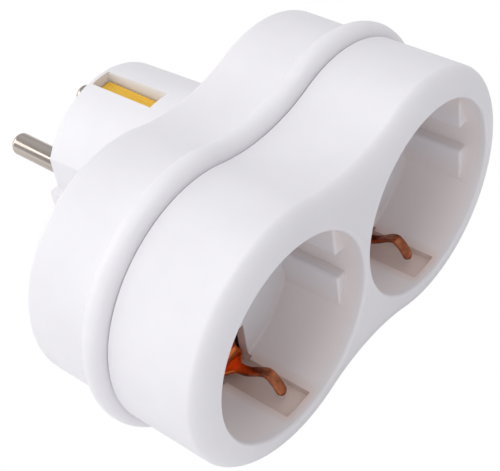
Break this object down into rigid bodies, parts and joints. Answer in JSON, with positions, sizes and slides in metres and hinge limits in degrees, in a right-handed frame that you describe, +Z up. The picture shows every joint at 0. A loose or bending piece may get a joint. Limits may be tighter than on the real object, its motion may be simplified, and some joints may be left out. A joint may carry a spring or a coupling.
{
  "type": "double socket adapter",
  "caption": "Plug-in adapter that splits one earthed wall socket into round recessed earthed sockets side by side, with a moulded plug at the back.",
  "frame": {"origin": "centre of the plug's engagement face, the flat face that the two pins stand out of", "axes": "+X along the two sockets, +Y out of the engagement face along the pins, +Z up; the two sockets open towards -Y"},
  "size_m": [0.0958, 0.0822, 0.0552],
  "materials": {
    "white_plastic": "semi-matte white thermoplastic",
    "nickel": "nickel plated brass, satin",
    "brass": "bare rolled brass",
    "copper": "tarnished copper alloy spring strip",
    "steel": "zinc plated"
  },
  "bodies": {
    "root": {"front_shell": "white_plastic", "rear_shell": "white_plastic", "pin_line": "nickel", "pin_neutral": "nickel", "line_busbar": "brass", "neutral_busbar": "brass", "line_contact_outer": "brass", "line_contact_inner": "brass", "neutral_contact_outer": "brass", "neutral_contact_inner": "brass", "line_rivet_outer": "brass", "line_rivet_inner": "brass", "neutral_rivet_outer": "brass", "neutral_rivet_inner": "brass", "earth_bracket_left": "copper", "earth_bracket_right": "copper", "earth_rivet_left": "brass", "earth_rivet_right": "brass", "earth_link": "brass", "earth_bow": "brass", "bow_rivet": "brass", "housing_screw_left": "steel", "housing_screw_right": "steel"}
  },
  "joints": []
}
